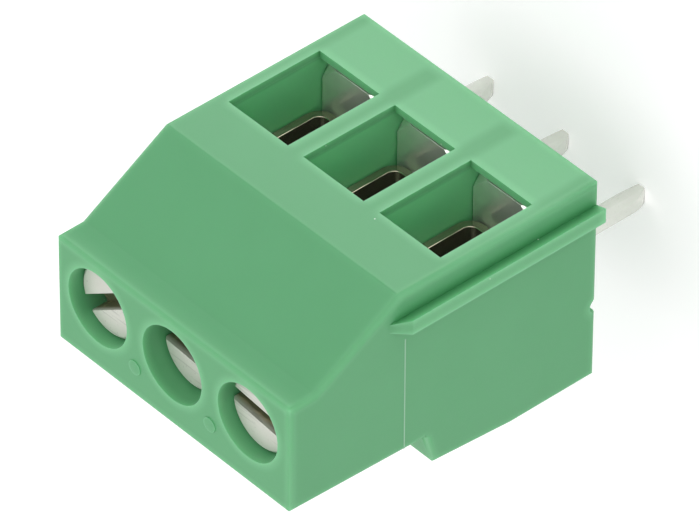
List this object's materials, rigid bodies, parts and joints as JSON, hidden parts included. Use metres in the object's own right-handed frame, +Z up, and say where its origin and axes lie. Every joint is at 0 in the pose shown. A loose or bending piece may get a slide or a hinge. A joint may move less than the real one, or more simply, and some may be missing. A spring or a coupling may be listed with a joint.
{
  "type": "pcb screw terminal",
  "caption": "Green screw terminal block for a circuit board, with straight solder pins, square wire entries and slotted clamp screws on top.",
  "frame": {"origin": "on the middle pole's screw and pin axis, at the board's surface", "axes": "+Z up from the board along the screws, pins point to -Z; +X along the row of poles; -Y is the wire-entry side"},
  "size_m": [0.0164, 0.0115, 0.0236],
  "materials": {
    "housing": "satin moulded polyamide, green",
    "contact": "tin plated, bright",
    "cage": "nickel plated sheet, smooth",
    "screw": "zinc plated, warm pale grey"
  },
  "bodies": {
    "block": {"housing": "housing", "contact_1": "contact", "contact_2": "contact", "contact_3": "contact"},
    "cage_1": {"cage_1": "cage"},
    "cage_2": {"cage_2": "cage"},
    "cage_3": {"cage_3": "cage"},
    "screw_1": {"screw_1": "screw"},
    "screw_2": {"screw_2": "screw"},
    "screw_3": {"screw_3": "screw"}
  },
  "joints": [
    {"name": "screw_turn_1", "type": "hinge", "parent": "block", "child": "screw_1", "pos_m": [-0.00508, 0, 0.0155], "axis": [0, 0, -1], "range_deg": [0, 2880]},
    {"name": "screw_turn_2", "type": "hinge", "parent": "block", "child": "screw_2", "pos_m": [0, 0, 0.0155], "axis": [0, 0, -1], "range_deg": [0, 2880]},
    {"name": "screw_turn_3", "type": "hinge", "parent": "block", "child": "screw_3", "pos_m": [0.00508, 0, 0.0155], "axis": [0, 0, -1], "range_deg": [0, 2880]},
    {"name": "cage_rise_1", "type": "slide", "parent": "block", "child": "cage_1", "axis": [0, 0, 1], "range_m": [0, 0.004]},
    {"name": "cage_rise_2", "type": "slide", "parent": "block", "child": "cage_2", "axis": [0, 0, 1], "range_m": [0, 0.004]},
    {"name": "cage_rise_3", "type": "slide", "parent": "block", "child": "cage_3", "axis": [0, 0, 1], "range_m": [0, 0.004]}
  ],
  "couplings": [
    {"joint": "screw_turn_1", "follows": "cage_rise_1", "rad_per_m": 12566},
    {"joint": "screw_turn_2", "follows": "cage_rise_2", "rad_per_m": 12566},
    {"joint": "screw_turn_3", "follows": "cage_rise_3", "rad_per_m": 12566}
  ]
}
